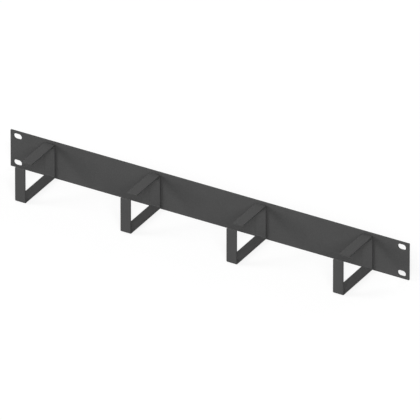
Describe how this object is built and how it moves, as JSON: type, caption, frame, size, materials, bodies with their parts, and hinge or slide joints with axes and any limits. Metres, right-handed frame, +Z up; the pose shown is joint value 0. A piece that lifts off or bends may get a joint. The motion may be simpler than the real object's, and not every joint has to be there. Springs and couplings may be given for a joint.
{
  "type": "horizontal cable manager",
  "caption": "Flat 19-inch rack panel, one unit high, with a row of open rectangular rings bent from flat strip that hold a cable bundle in front of it.",
  "frame": {"origin": "centre of the panel's rear face, in the middle of the four rack slots, on the plane that meets the rack's rails", "axes": "+X along the panel, +Y back towards the rack's rails so that the rings stand out towards -Y, +Z up"},
  "size_m": [0.4826, 0.066, 0.0436],
  "materials": {
    "powder_coat": "dark grey powder coat on steel, low sheen with a fine orange peel"
  },
  "bodies": {
    "root": {"panel": "powder_coat", "cable_ring_1": "powder_coat", "cable_ring_2": "powder_coat", "cable_ring_3": "powder_coat", "cable_ring_4": "powder_coat"}
  },
  "joints": []
}
